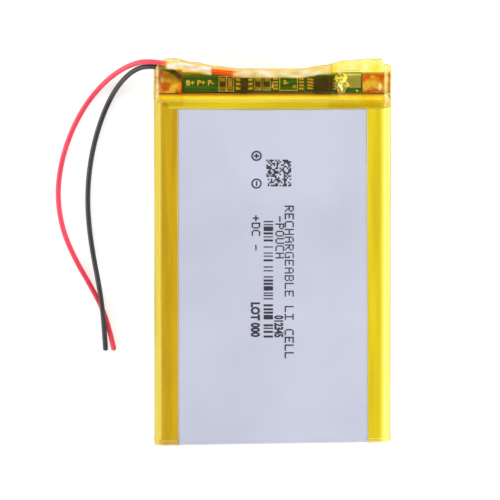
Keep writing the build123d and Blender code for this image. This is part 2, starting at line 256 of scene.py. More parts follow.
def add_node(tree, kind, inputs=None, **settings):
    """A new node. Its inputs are given as values or as the output sockets that they link to."""
    node = tree.nodes.new(kind)
    for name, value in settings.items():
        setattr(node, name, value)
    for name, value in (inputs or {}).items():
        if isinstance(value, bpy.types.NodeSocket):
            tree.links.new(value, node.inputs[name])
        else:
            node.inputs[name].default_value = value
    return node


def noise_field(tree, feature, stretch=(1, 1, 1), detail=3.0):
    """Noise with features of about that many millimetres, drawn out along each axis by its stretch."""
    coordinates = add_node(tree, "ShaderNodeTexCoord")
    scale = [1 / share for share in stretch]
    mapping = add_node(
        tree, "ShaderNodeMapping", {"Vector": coordinates.outputs["Object"], "Scale": scale}
    )
    field = add_node(
        tree,
        "ShaderNodeTexNoise",
        {"Vector": mapping.outputs["Vector"], "Scale": 1 / (feature * MM), "Detail": detail},
    )
    return field.outputs["Fac"]


def ramp(tree, factor, low, high, low_at=0.35, high_at=0.65):
    """A colour that runs from low to high as the factor does."""
    node = add_node(tree, "ShaderNodeValToRGB", {"Fac": factor})
    for element, colour, position in zip(node.color_ramp.elements, (low, high), (low_at, high_at)):
        element.position = position
        element.color = (*colour, 1)
    return node.outputs["Color"]


def mix_colour(tree, factor, first, second):
    """The first colour where the factor is 0 and the second where it is 1."""
    node = add_node(tree, "ShaderNodeMix", {0: factor, 6: first, 7: second}, data_type="RGBA")
    return node.outputs[2]


def level(tree, factor, low, high):
    """A number that runs from low to high as the factor goes from 0.3 to 0.7."""
    node = add_node(
        tree,
        "ShaderNodeMapRange",
        {"Value": factor, "From Min": 0.3, "From Max": 0.7, "To Min": low, "To Max": high},
    )
    return node.outputs["Result"]


def bump(tree, height, depth, normal=None):
    """A surface normal disturbed by a field, as if it were that many millimetres deep."""
    inputs = {"Height": height, "Distance": depth * MM}
    if normal:
        inputs["Normal"] = normal
    return add_node(tree, "ShaderNodeBump", inputs).outputs["Normal"]


def gloss_share(tree, normal):
    """How much a thin film's surface reflects: little face on and everything at a glancing angle.

    Unlike the Fresnel node it is the same from inside, so light leaves the film as it came in."""
    facing = add_node(tree, "ShaderNodeLayerWeight", {"Normal": normal}).outputs["Facing"]
    glancing = add_node(tree, "ShaderNodeMath", {0: facing, 1: 5.0}, operation="POWER")
    share = add_node(
        tree,
        "ShaderNodeMath",
        {0: glancing.outputs["Value"], 1: 0.985, 2: 0.015},
        operation="MULTIPLY_ADD",
    )
    return share.outputs["Value"]


def set_surface(tree, shader):
    add_node(tree, "ShaderNodeOutputMaterial", {"Surface": shader})


def plain_material(
    name, low, high, feature, roughness, depth, stretch=(1, 1, 1), metallic=0.0, sockets=None
):
    """A material whose colour varies over feature millimetres, and its gloss and surface over a quarter
    of that."""
    material, tree = new_tree(name)
    field = noise_field(tree, feature, stretch)
    fine = noise_field(tree, feature / 4, stretch, detail=6.0)
    inputs = {
        "Base Color": ramp(tree, field, low, high),
        "Roughness": level(tree, fine, *roughness),
        "Metallic": metallic,
        "Normal": bump(tree, fine, depth),
    }
    shader = add_node(tree, "ShaderNodeBsdfPrincipled", inputs | (sockets or {}))
    set_surface(tree, shader.outputs["BSDF"])
    return material


# ---- Materials -------------------------------------------------------
def pouch_material():
    """Matte nylon-faced laminate, pale lavender grey, with faint pressing marks."""
    material, tree = new_tree("pouch_laminate")
    cloud = noise_field(tree, 22)
    grain = noise_field(tree, 0.35, detail=5.0)
    swell = noise_field(tree, 9)
    soft = bump(tree, swell, 0.10)
    shader = add_node(
        tree,
        "ShaderNodeBsdfPrincipled",
        {
            "Base Color": ramp(tree, cloud, (0.475, 0.493, 0.598), (0.525, 0.543, 0.648)),
            "Roughness": level(tree, grain, 0.42, 0.55),
            "Specular IOR Level": 0.35,
            "Normal": bump(tree, grain, 0.006, soft),
        },
    )
    set_surface(tree, shader.outputs["BSDF"])
    return material


def step_share(tree, distance, start, end):
    """0 where a distance is start millimetres or less and 1 where it is end millimetres or more."""
    share = add_node(
        tree,
        "ShaderNodeMapRange",
        {"Value": distance, "From Min": start * MM, "From Max": end * MM},
        interpolation_type="SMOOTHSTEP",
    )
    return share.outputs["Result"]


def yellow_tape_material(
    name, pale, deep, rim, wall, stretch, axis="X", edge=half_width, painted_highlight_width=2.7
):
    """Glossy yellow polyester tape: streaks along its length, a clear coat, a painted highlight over the
    rounded edge of the face, and painted dark amber shade down the wall at the edge."""
    material, tree = new_tree(name)
    streaks = noise_field(tree, 3.0, stretch)
    grain = noise_field(tree, 0.8, stretch=(1, 3, 1), detail=5.0)
    lift = bump(tree, streaks, 0.05)
    spot = add_node(tree, "ShaderNodeTexCoord").outputs["Object"]
    along = add_node(tree, "ShaderNodeSeparateXYZ", {"Vector": spot}).outputs[axis]
    distance = add_node(tree, "ShaderNodeMath", {0: along}, operation="ABSOLUTE").outputs["Value"]
    # the painted rim highlight begins its width in from the edge, and the painted wall shade half a
    # millimetre in
    on_painted_highlight = step_share(tree, distance, edge - painted_highlight_width, edge - painted_highlight_width * 0.45)
    on_painted_wall_shade = step_share(tree, distance, edge - 0.55, edge - 0.05)
    # the streaks, with a painted highlight mixed in over the rounded edge
    face = mix_colour(tree, on_painted_highlight, ramp(tree, streaks, deep, pale), (*rim, 1))
    # painted shade on the wall at the edge, a deeper and darker amber
    painted_wall_shade = ramp(tree, streaks, [0.75 * share for share in wall], [1.25 * share for share in wall])
    colour = mix_colour(tree, on_painted_wall_shade, face, painted_wall_shade)
    shader = add_node(
        tree,
        "ShaderNodeBsdfPrincipled",
        {
            "Base Color": colour,
            "Roughness": level(tree, grain, 0.26, 0.38),
            "Specular IOR Level": 0.2,
            "Coat Weight": 0.65,
            "Coat Roughness": 0.10,
            "Normal": bump(tree, grain, 0.006, lift),
        },
    )
    set_surface(tree, shader.outputs["BSDF"])
    return material


SUNNY = ((0.98, 0.74, 0.04), (1.0, 0.86, 0.12))
# the white of the films' painted glare
PAINTED_GLARE_WHITE = (0.96, 0.95, 0.88, 1)


def clear_tape_material(name, pale, deep, cloudy=SUNNY, body=(0.0, 0.01)):
    """Clear coloured film: what one surface lets through, a little colour of its own, painted white glare
    where the mesh's attribute gives it, standing in for reflections off the film, and a gloss."""
    material, tree = new_tree(name)
    cloud = noise_field(tree, 2.5)
    fine = noise_field(tree, 0.9, detail=4.0)
    normal = bump(tree, fine, 0.06)
    # the painted white glare from the mesh stands in for reflections off the film
    painted_glare = add_node(tree, "ShaderNodeAttribute", attribute_name="painted_glare").outputs["Fac"]
    own_colour = mix_colour(tree, painted_glare, ramp(tree, cloud, *cloudy, 0.45, 0.60), PAINTED_GLARE_WHITE)
    diffuse = add_node(tree, "ShaderNodeBsdfDiffuse", {"Color": own_colour, "Normal": normal})
    glow = add_node(tree, "ShaderNodeBsdfTranslucent", {"Color": own_colour, "Normal": normal})
    scattered = add_node(
        tree, "ShaderNodeMixShader", {"Fac": 0.25, 1: diffuse.outputs["BSDF"], 2: glow.outputs["BSDF"]}
    )
    through = add_node(tree, "ShaderNodeBsdfTransparent", {"Color": ramp(tree, cloud, deep, pale)})
    opacity = add_node(
        tree, "ShaderNodeMath", {0: painted_glare, 1: level(tree, cloud, *body)}, operation="MAXIMUM"
    )
    film = add_node(
        tree,
        "ShaderNodeMixShader",
        {"Fac": opacity.outputs["Value"], 1: through.outputs["BSDF"], 2: scattered.outputs["Shader"]},
    )
    gloss = add_node(tree, "ShaderNodeBsdfGlossy", {"Roughness": 0.14, "Normal": normal})
    mixed = add_node(
        tree,
        "ShaderNodeMixShader",
        {"Fac": gloss_share(tree, normal), 1: film.outputs["Shader"], 2: gloss.outputs["BSDF"]},
    )
    set_surface(tree, mixed.outputs["Shader"])
    return material


def board_material():
    """Green solder mask, a little lighter over the copper tracks that run under it."""
    material, tree = new_tree("solder_mask")
    coordinates = add_node(tree, "ShaderNodeTexCoord").outputs["Object"]
    tracks = add_node(
        tree,
        "ShaderNodeTexWave",
        {"Vector": coordinates, "Scale": 260.0, "Distortion": 2.0, "Detail": 1.0},
        bands_direction="Y",
        wave_profile="TRI",
    )
    speckle = noise_field(tree, 0.3)
    track = tracks.outputs["Fac"]
    colour = ramp(tree, track, (0.012, 0.135, 0.022), (0.030, 0.23, 0.046), 0.45, 0.55)
    shader = add_node(
        tree,
        "ShaderNodeBsdfPrincipled",
        {
            "Base Color": colour,
            "Roughness": level(tree, speckle, 0.25, 0.40),
            "Coat Weight": 0.5,
            "Normal": bump(tree, track, 0.015),
        },
    )
    set_surface(tree, shader.outputs["BSDF"])
    return material


def lead_material(name, low, high):
    """Soft smooth insulation with faint extrusion lines and handling marks."""
    gloss = {"Coat Weight": 0.25, "Coat Roughness": 0.25}
    return plain_material(name, low, high, 2.5, (0.34, 0.48), 0.01, (1, 4, 1), sockets=gloss)


pouch_laminate = pouch_material()
LENGTHWISE, CROSSWISE = (0.6, 9, 3), (9, 0.6, 3)
# each tape: pale and deep streak colours, the painted rim highlight and the painted wall shade; the left
# tape is coloured darker than the right and its painted highlight is dimmer
yellow_left = yellow_tape_material(
    "yellow_tape_left",
    (0.58, 0.36, 0.002),
    (0.46, 0.27, 0.0),
    (0.66, 0.52, 0.003),
    (0.47, 0.25, 0.003),
    LENGTHWISE,
    painted_highlight_width=2.0,
)
yellow_right = yellow_tape_material(
    "yellow_tape_right",
    (0.73, 0.56, 0.006),
    (0.62, 0.46, 0.002),
    (0.95, 0.85, 0.09),
    (0.52, 0.29, 0.004),
    LENGTHWISE,
)
# on the shoulder the painted wall shade is dark red, the painted shade in the gap between the board and
# the shoulder
yellow_shoulder = yellow_tape_material(
    "yellow_tape_shoulder",
    (0.67, 0.50, 0.004),
    (0.54, 0.39, 0.0),
    (0.92, 0.74, 0.03),
    (0.38, 0.10, 0.005),
    CROSSWISE,
    axis="Y",
    edge=wall_y + 0.1,
    painted_highlight_width=1.3,
)
amber_middle = clear_tape_material("amber_film_middle", (1.0, 0.905, 0.54), (0.99, 0.865, 0.42))
amber_ends = clear_tape_material("amber_film_ends", (1.0, 0.992, 0.84), (1.0, 0.945, 0.46))
amber_folded = clear_tape_material(
    "amber_film_folded",
    (0.99, 0.86, 0.40),
    (0.97, 0.70, 0.22),
    cloudy=((0.84, 0.19, 0.004), (1.0, 0.70, 0.12)),
    body=(0.76, 0.97),
)
red_insulation = lead_material("red_insulation", (0.80, 0.030, 0.070), (0.90, 0.050, 0.10))
black_insulation = lead_material("black_insulation", (0.022, 0.021, 0.028), (0.034, 0.032, 0.042))

EVEN = (1, 1, 1)
# low and high colour, feature in mm, roughness, depth in mm, then stretch and metallic if not plain
PLAIN_FINISHES = {
    "print_ink": ((0.010, 0.010, 0.022), (0.03, 0.03, 0.05), 0.5, (0.5, 0.7), 0.004),
    "board_legend": ((0.84, 0.84, 0.79), (0.93, 0.93, 0.88), 0.4, (0.5, 0.7), 0.004),
    "solder": ((0.76, 0.73, 0.62), (0.90, 0.87, 0.76), 0.6, (0.20, 0.36), 0.03, EVEN, 1.0),
    "tinned_copper": ((0.62, 0.58, 0.52), (0.78, 0.75, 0.70), 0.2, (0.25, 0.4), 0.01, EVEN, 1.0),
    "gold_plate": ((0.96, 0.72, 0.30), (1.0, 0.86, 0.46), 0.5, (0.42, 0.56), 0.01, EVEN, 0.8),
    "nickel_strip": ((0.66, 0.70, 0.64), (0.80, 0.84, 0.78), 1.2, (0.38, 0.52), 0.02, (6, 1, 1), 1.0),
    "aluminium_tab": ((0.72, 0.72, 0.73), (0.82, 0.82, 0.83), 1.0, (0.28, 0.42), 0.02, (1, 6, 1), 1.0),
    "chip_epoxy": ((0.018, 0.017, 0.020), (0.038, 0.036, 0.040), 0.25, (0.42, 0.6), 0.02),
    "resistor_glaze": ((0.03, 0.022, 0.022), (0.07, 0.05, 0.045), 0.3, (0.25, 0.4), 0.01),
    "capacitor_ceramic": ((0.40, 0.24, 0.11), (0.52, 0.33, 0.17), 0.3, (0.35, 0.5), 0.01),
    "insulating_paper": ((0.36, 0.40, 0.30), (0.46, 0.50, 0.38), 0.4, (0.75, 0.9), 0.02, (1, 3, 1)),
    "tab_sealant": ((0.62, 0.60, 0.50), (0.74, 0.72, 0.62), 0.8, (0.45, 0.6), 0.01),
    "cathode_coating": ((0.022, 0.022, 0.024), (0.040, 0.040, 0.043), 0.2, (0.8, 0.95), 0.01),
    "anode_coating": ((0.030, 0.027, 0.025), (0.055, 0.048, 0.042), 0.2, (0.7, 0.9), 0.01),
    "separator_film": ((0.78, 0.78, 0.77), (0.86, 0.86, 0.85), 2.0, (0.45, 0.6), 0.01, (1, 8, 1)),
    "roll_closing_tape": ((0.10, 0.30, 0.52), (0.15, 0.38, 0.62), 3.0, (0.3, 0.45), 0.01),
}
finishes = {name: plain_material(name, *values) for name, values in PLAIN_FINISHES.items()}
finishes["solder_mask"] = board_material()

NODES_BY_FINISH = {
    "cathode_coating": ["cathode_strip"],
    "anode_coating": ["anode_strip"],
    "separator_film": ["separator_inner", "separator_outer"],
    "roll_closing_tape": ["roll_end_tape"],
    "aluminium_tab": ["positive_tab"],
    "nickel_strip": ["negative_tab", "positive_link_strip", "negative_link_strip"],
    "tab_sealant": ["positive_tab_sealant", "negative_tab_sealant"],
    "insulating_paper": ["insulating_strip"],
    "solder_mask": ["circuit_board"],
    "gold_plate": ["board_pads", "protection_ic_leads", "mosfet_leads"],
    "chip_epoxy": ["protection_ic", "mosfet_chip"],
    "resistor_glaze": ["resistor_bodies"],
    "capacitor_ceramic": ["capacitor_body"],
    "solder": ["chip_end_caps", "red_lead_solder", "black_lead_solder"],
}


def dress_cad_nodes():
    """Give the CAD nodes that stay in view their real materials."""
    for finish, nodes in NODES_BY_FINISH.items():
        for node in nodes:
            for material_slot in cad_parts[node].material_slots:
                material_slot.material = finishes[finish]


# ---- Pouch -----------------------------------------------------------
def cup_stations():
    """(y, height share, side inset) along the cell, from the folded end to the shoulder wall."""
    stations = []
    for inset, height in rim_profile(end_power, 9):
        distance = inset * end_round
        stations.append((low_y + distance, height, plan_inset(distance, pouch_corner)))
    for y in spread(low_y + end_round, wall_y - shoulder_round, 2.0)[1:-1]:
        stations.append((y, 1.0, 0.0))
    for inset, height in reversed(rim_profile(shoulder_power, 9)):
        distance = inset * shoulder_round
        stations.append((wall_y - distance, height, plan_inset(distance, pouch_shoulder_corner)))
    return stations


def cup_columns():
    """(x, height share) across the cell, from the left seam over the face to the right seam."""
    rim = [(pouch_half_x - inset * side_round, height) for inset, height in rim_profile(side_power, 8)]
    flat_x = rim[-1][0]
    flats = [(x, 1.0) for x in spread(-flat_x, flat_x, 2.0)[1:-1]]
    return [(-x, height) for x, height in rim] + flats + rim[::-1]


def cup_rows(up):
    """One drawn cup, as rows of points: up is 1 for the front half and -1 for the back."""
    rows = []
    for y, end_height, inset in cup_stations():
        row = []
        for x, side_height in cup_columns():
            share = end_height * side_height
            unevenness = 0.05 * wrinkle((x, y, up * 9), 9, 3) * share
            z = seam_z + up * ((pouch_face_z - seam_z) * share + unevenness)
            row.append((x * (1 - inset / half_width), slanted(x, y), z))
        rows.append(row)
    return rows


def seal_rows(up):
    """The top seal and the two side seals that are folded up beside the cup, the back film outside."""
    seal_x = half_width - (0.35 if up > 0 else 0.26)
    terrace_z = seam_z + up * 0.2
    cup_fold_z, terrace_fold_z = 7.9, 6.7
    xs = spread(-seal_x, seal_x, 1.2)
    ys = spread(wall_y - 0.4, terrace_y, 0.6)
    terrace = [[(x, y, terrace_z + 0.03 * wrinkle((x, y, 0), 2.5, 5)) for x in xs] for y in ys]
    sheets = [terrace]
    for side in (-1, 1):
        rows = []
        for y in spread(low_y + 2.4, terrace_y, 0.8):
            top_z = cup_fold_z if y < wall_y else terrace_fold_z
            lean = 0.08 * wrinkle((side, y, 0), 5, 11)
            rows.append(
                [
                    (side * (seal_x + lean * share), y, seam_z + (top_z - seam_z) * share)
                    for share in (0.0, 0.25, 0.5, 0.75, 1.0)
                ]
            )
        sheets.append(rows)
    return sheets


def make_pouch():
    for name, up in (("pouch_front", 1), ("pouch_back", -1)):
        mesh = sheet_mesh(name, cup_rows(up), *seal_rows(up))
        if up < 0:
            mesh.flip_normals()
        piece = place(name, mesh, pouch_laminate, [f"{name}_film"])
        thicken(piece, laminate_thickness)


# ---- Yellow tapes ----------------------------------------------------
def tape_section():
    """Outside of a side tape, from its edge on the face round the folded seal to the back, as (x, z)."""
    top, side = tape_top_z, tape_side_x
    section = [
        (tape_edge_x, top),
        (half_width - 3.6, top),
        (half_width - 2.4, top - 0.02),
        (half_width - 1.8, top - 0.13),
        (half_width - 1.3, top - 0.36),
        (half_width - 0.85, top - 0.76),
        (half_width - 0.48, top - 1.28),
        (half_width - 0.22, top - 1.9),
        (side, top - 2.7),
        (side, top - 3.6),
        (side, seam_z + 0.6),
        (half_width - 0.12, seam_z - 0.2),
        (half_width - 0.28, seam_z - 0.8),
        (half_width - 0.38, seam_z - 1.6),
        (half_width - 0.42, 2.5),
        (half_width - 0.55, 1.5),
        (half_width - 0.9, 0.75),
        (half_width - 1.5, 0.28),
        (half_width - 2.3, 0.05),
        (half_width - 3.6, 0.0),
        (tape_edge_x, 0.0),
    ]
    return smooth_line(section, 3)


def tape_stations():
    """(y, height share, side inset) along a side tape, close enough together for its wrinkles."""
    overhang = 0.07
    stations = []
    for inset, height in rim_profile(end_power, 12):
        distance = inset * end_round
        stations.append((low_y - overhang + distance, height, plan_inset(distance, tape_corner)))
    for y in spread(low_y + end_round, wall_y - shoulder_round, 0.7)[1:-1]:
        stations.append((y, 1.0, 0.0))
    for inset, height in reversed(rim_profile(shoulder_power, 10)):
        distance = inset * shoulder_round
        stations.append((wall_y - distance, height, plan_inset(distance, tape_shoulder_corner)))
    return stations


def tape_point(side, x, y, z, share, inset):
    """A point of a tape's outside, with long shallow wrinkles and tighter folds near the folded end."""
    seed = 20 + side
    near_end = max(0.0, 1 - (y - low_y) / 5)  # the folds run 5 mm up the cell
    side_share = kept_in_range((x - half_width + 3.4) / 2.6)
    ripple = 0.06 * (1 + wrinkle((x, y, z), 1.5, seed, (1, 7, 1)))
    fold = 0.10 * near_end * (1 + crease((x * 0.4, y, z), 2.2, seed))
    bulge = ripple * side_share + fold * (0.3 + 0.7 * side_share)
    # the right tape's edge on the face runs a little askew
    edge_drift = 0.4 * max(0.0, (wall_y - y) / (wall_y - low_y)) if side > 0 else 0.0
    edge_band = 0.6
    if x < tape_edge_x + edge_band:
        x += edge_drift * (1 - (x - tape_edge_x) / edge_band)
    x_out = x - inset + bulge * 0.45 * side_share
    height = (z - seam_z) * share
    height += (0.03 + bulge * (1 - 0.5 * side_share)) * height / seam_z
    return (side * x_out, slanted(side * x, y), seam_z + height)


def make_side_tapes():
    for side, name, material in (
        (-1, "side_tape_left", yellow_left),
        (1, "side_tape_right", yellow_right),
    ):
        rows = [
            [tape_point(side, x, y, z, share, inset) for x, z in tape_section()]
            for y, share, inset in tape_stations()
        ]
        mesh = sheet_mesh(f"yellow_{name}", rows)
        if side < 0:
            mesh.flip_normals()
        piece = place(f"yellow_{name}", mesh, material, [name])
        thicken(piece, tape_thickness)


def make_shoulder_tape():
    """The tape across the end of the face, over the side tapes' ends and down the shoulder wall."""
    lift = 0.05
    section = [point for point in tape_section() if point.y > seam_z + 1.2]
    flats = spread(-tape_edge_x, tape_edge_x, 0.8)[1:-1]
    across = (
        [(-x - lift, z) for x, z in reversed(section)]
        + [(x, tape_top_z) for x in flats]
        + [(x + lift, z) for x, z in section]
    )
    wall = [
        (wall_y + lift - inset * shoulder_round, height)
        for inset, height in reversed(rim_profile(shoulder_power, 12))
        if height > 0.12
    ]
    rows = []
    for y, share in [(None, 1.0), (None, 1.0), *wall]:
        row = []
        for x, z in across:
            bow = 0.25 * (1 - (x / half_width) ** 2) - 0.08 * wrinkle((x, 0, 0), 6, 2)
            here = y if y is not None else shoulder_edge_y - bow + 0.35 * len(rows)
            inset = plan_inset(wall_y + lift - here, tape_shoulder_corner) if y is not None else 0.0
            ripple = 0.05 * wrinkle((x, here, z), 2.5, 31)
            z_here = seam_z + (z - seam_z + lift) * share * (1 + ripple / seam_z)
            row.append((x * (1 - inset / half_width), here, z_here))
        rows.append(row)
    mesh = sheet_mesh("yellow_shoulder_tape", rows)
    piece = place("yellow_shoulder_tape", mesh, yellow_shoulder, ["shoulder_tape"])
    thicken(piece, tape_thickness)


# ---- Amber end wrap --------------------------------------------------
# the wrap's nose in plan, and the heights of the film over and under the board, as (x, value)
NOSE_Y = [
    (-25.2, 39.4),
    (-23.6, 41.1),
    (-22.5, 41.5),
    (-20.5, 41.45),
    (-16.5, 40.85),
    (-12.2, 40.1),
    (-6.9, 39.55),
    (5.9, 39.5),
    (11.2, 40.3),
    (15.4, 41.15),
    (20.7, 41.5),
    (23.2, 41.5),
    (23.7, 40.4),
    (25.2, 40.1),
]
TOP_Z = [
    (-25.2, 7.5),
    (-23.0, 8.3),
    (-12.0, 8.5),
    (-5.0, 8.35),
    (0.0, 8.05),
    (8.0, 8.05),
    (14.0, 8.3),
    (20.0, 8.2),
    (23.6, 7.9),
    (25.2, 6.6),
]
BOTTOM_Z = [(-25.2, 5.3), (-23.0, 4.2), (-18.0, 3.9), (18.0, 3.9), (23.0, 4.1), (25.2, 5.2)]
# how much painted white glare the film carries along its nose, standing in for the reflection off its
# rounding, as (x, share)
NOSE_PAINTED_GLARE = [
    (-25.2, 0.05),
    (-23.0, 0.1),
    (-21.9, 0.9),
    (-13.4, 0.95),
    (-12.7, 0.02),
    (-8.9, 0.02),
    (-7.6, 0.6),
    (-3.0, 0.8),
    (5.0, 0.66),
    (11.6, 0.74),
    (13.0, 0.2),
    (25.2, 0.2),
]
# the middle and half size of one painted reflection, on a fold at the right end
GLARE_FOLD_SPOT, GLARE_FOLD_HALF = (22.8, 36.0), (0.45, 1.0)  # middle and half size of one bright fold


def painted_glare_at(x, y, z):
    """Painted white glare at a point, standing in for reflections: along the nose, down the rounded sides
    and at one fold.
    """
    # how far the point is from the middle of each band of painted glare, in half widths of the band
    nose_band_y = height_along(NOSE_Y, x) - 0.8
    side_band_x = half_width - (1.1 if x > 0 else 0.7)
    from_nose = (nose_band_y - y) / 0.85
    from_side = (abs(x) - side_band_x) / 0.5
    from_fold = ((x - GLARE_FOLD_SPOT[0]) / GLARE_FOLD_HALF[0]) ** 2 + ((y - GLARE_FOLD_SPOT[1]) / GLARE_FOLD_HALF[1]) ** 2
    nose = height_along(NOSE_PAINTED_GLARE, x) * max(0.0, 1 - from_nose**4)
    side = 0.55 * max(0.0, 1 - from_side**2)
    fold = 0.8 * max(0.0, 1 - from_fold)
    patchy = 0.9 + 0.7 * wrinkle((x, y, z), 1.0, 91, (2.5, 1, 1))
    # the glare is painted only on the upper side of the film
    near_top = kept_in_range((z - seam_z) / 1.4)
    return min(0.97, max(nose, side, fold) * patchy) * near_top


def wrap_line(x, lap_y, lift):
    """The film's line at one x, as (y, z), from over the cell round the nose to under the board.

    A film without a lap_y starts and ends on the shoulder wall. The others start on the face."""
    nose = height_along(NOSE_Y, x) + lift
    top = height_along(TOP_Z, x) + lift
    bottom = height_along(BOTTOM_Z, x) - lift
    middle = (top + bottom) / 2
    if lap_y is None:
        begin = [(wall_y + 0.14, 9.0), (wall_y + 0.2, 8.7)]
        last = [(wall_y + 0.9, bottom - 0.3), (wall_y + 0.2, bottom - 1.6), (wall_y - 0.1, 1.1)]
    else:
        # towards the sides the film follows the rounded edge of the cell down
        past_flat = max(0.0, abs(x) - half_width + 2.4)
        drop = 0.42 * past_flat**1.6
        begin = [
            (lap_y, face_z + 0.15 - drop),
            (lap_y + 0.9, face_z + 0.15 - drop),
            (wall_y - 0.9, face_z + 0.02 - drop),
            (wall_y - 0.05, face_z - 0.75 - drop / 2),
        ]
        last = []
    return begin + [
        (wall_y + 0.55, top + 0.12),
        (board_y, top),
        (board_y + 1.5, top),
        (nose - 0.9, top - 0.15),
        (nose - 0.25, top - 0.75),
        (nose - 0.02, top - 1.4),
        (nose, middle + 0.2),
        (nose - 0.25, bottom + 0.9),
        (nose - 1.1, bottom + 0.25),
        (board_y, bottom),
    ] + last


def tuck_line(x):
    """A film tucked in over the top seal: under the black lead on the left, and up against the outer
    wrap on the right."""
    if x < 0:
        return [(wall_y + 0.08, 7.5), (wall_y + 1.5, 7.1), (board_y + 0.7, 5.9), (terrace_y + 0.8, 5.6)]
    return [(wall_y + 0.08, 7.3), (board_y, 7.2), (board_y + 1.6, 7.0), (terrace_y - 0.1, 6.2)]


def film_rows(xs, line_at, strength, size, seed):
    """A film's columns of points, creased along the normal of its own line, and flatter on the face."""
    rows = []
    for x in xs:
        line = smooth_line(line_at(x), 5)
        row = []
        for k, point in enumerate(line):
            along = line[min(k + 1, len(line) - 1)] - line[max(k - 1, 0)]
            normal = Vector((-along.y, along.x)).normalized()
            spot = (x, point.x, point.y)
            depth = strength(x) * (1.0 if point.x > wall_y + 0.3 else 0.2)
            lift = depth * (crease(spot, size, seed) + 0.5 * wrinkle(spot, size * 2.5, seed))
            point = point + normal * lift
            row.append((x, point.x, point.y))
        rows.append(row)
    return rows


def side_fold_rows(side):
    """The wrap's fold down one side, over the end of the folded side seal."""
    rows = []
    top_z, outside_x = 7.5, half_width - 0.02
    for y in spread(wall_y - 1.2, terrace_y + 0.9, 0.3):
        low_z = seam_z - 0.4 + 0.3 * wrinkle((side, y, 0), 1.5, 97)
        row = []
        for share in spread(0, 1, 0.12):
            z = low_z + (top_z - low_z) * share
            x = outside_x - 0.06 * abs(wrinkle((0, y, z), 1.2, 96))
            row.append((side * x, y, z))
        rows.append(row)
    return rows


def make_film(name, rows, material, replaces=()):
    mesh = sheet_mesh(name, rows)
    mesh.flip_normals()
    # each point carries its share of painted white glare
    painted_glare = mesh.attributes.new("painted_glare", "FLOAT", "POINT")
    painted_glare.data.foreach_set("value", [painted_glare_at(*point) for row in rows for point in row])
    piece = place(name, mesh, material, replaces)
    thicken(piece, film_thickness)


def end_strength(x):
    """Crease depth: shallow over the board and deep at the two ends."""
    return 0.05 + 0.15 * kept_in_range((abs(x) - 13) / 8)


def make_end_wrap():
    """Three overlapping clear films round the board end, with a folded one inside each corner and a
    fold down each side."""
    left_x, right_x = -tape_side_x, tape_side_x
    column_step = 0.2
    outer = (
        ("end_wrap_middle", -19.6, 12.8, None, 0.0, amber_middle, 41),
        ("end_wrap_left", left_x, -19.0, 32.3, 0.12, amber_ends, 52),
        ("end_wrap_right", 12.0, right_x, 31.9, 0.12, amber_ends, 63),
    )
    for name, low_x, high_x, lap_y, lift, material, seed in outer:
        xs = spread(low_x, high_x, column_step)
        rows = film_rows(xs, lambda x: wrap_line(x, lap_y, lift), end_strength, 2.6, seed)
        make_film(name, rows, material, ["end_wrap"] if lap_y is None else ())
    for name, low_x, high_x, depth, seed in (
        ("end_wrap_tuck_left", left_x + 0.2, -19.3, 0.18, 74),
        ("end_wrap_tuck_right", 19.1, right_x - 0.2, 0.28, 85),
    ):
        xs = spread(low_x, high_x, column_step)
        rows = film_rows(xs, tuck_line, lambda x: depth, 1.8, seed)
        make_film(name, rows, amber_folded)
    for side, name in ((-1, "end_wrap_side_left"), (1, "end_wrap_side_right")):
        make_film(name, side_fold_rows(side), amber_folded)


# ---- Print on the face and legends on the board ----------------------
FONT = {
    "A": (" ### ", "#   #", "#   #", "#####", "#   #", "#   #", "#   #"),
    "B": ("#### ", "#   #", "#   #", "#### ", "#   #", "#   #", "#### "),
    "C": (" ####", "#    ", "#    ", "#    ", "#    ", "#    ", " ####"),
    "D": ("#### ", "#   #", "#   #", "#   #", "#   #", "#   #", "#### "),
    "E": ("#####", "#    ", "#    ", "#### ", "#    ", "#    ", "#####"),
    "G": (" ####", "#    ", "#    ", "#  ##", "#   #", "#   #", " ####"),
    "H": ("#   #", "#   #", "#   #", "#####", "#   #", "#   #", "#   #"),
    "I": ("#####", "  #  ", "  #  ", "  #  ", "  #  ", "  #  ", "#####"),
    "L": ("#    ", "#    ", "#    ", "#    ", "#    ", "#    ", "#####"),
    "O": (" ### ", "#   #", "#   #", "#   #", "#   #", "#   #", " ### "),
    "P": ("#### ", "#   #", "#   #", "#### ", "#    ", "#    ", "#    "),
    "R": ("#### ", "#   #", "#   #", "#### ", "# #  ", "#  # ", "#   #"),
    "U": ("#   #", "#   #", "#   #", "#   #", "#   #", "#   #", " ### "),
    "+": ("     ", "  #  ", "  #  ", "#####", "  #  ", "  #  ", "     "),
    "-": ("     ", "     ", "     ", "#####", "     ", "     ", "     "),
    " ": ("     ",) * 7,
}
ink_low = pouch_face_z - 0.04
ink_high = pouch_face_z + 0.045


def disc(x, y, radius, sides=8):
    turn = 2 * pi / sides
    return [(x + radius * cos(k * turn), y + radius * sin(k * turn)) for k in range(sides)]


def bar(x_span, y_span):
    (x0, x1), (y0, y1) = x_span, y_span
    return [(x0, y0), (x1, y0), (x1, y1), (x0, y1)]


def ring(x, y, radius, width, sides=20):
    """A ring as short quads end to end."""
    inner, outer = disc(x, y, radius - width / 2, sides), disc(x, y, radius + width / 2, sides)
    return [[inner[k - 1], outer[k - 1], outer[k], inner[k]] for k in range(sides)]


def frame_bars(x_span, y_span, width):
    """The four sides of a rectangle, as bars."""
    (x0, x1), (y0, y1) = x_span, y_span
    return [
        bar((x0, x1), (y0, y0 + width)),
        bar((x0, x1), (y1 - width, y1)),
        bar((x0, x0 + width), (y0 + width, y1 - width)),
        bar((x1 - width, x1), (y0 + width, y1 - width)),
    ]


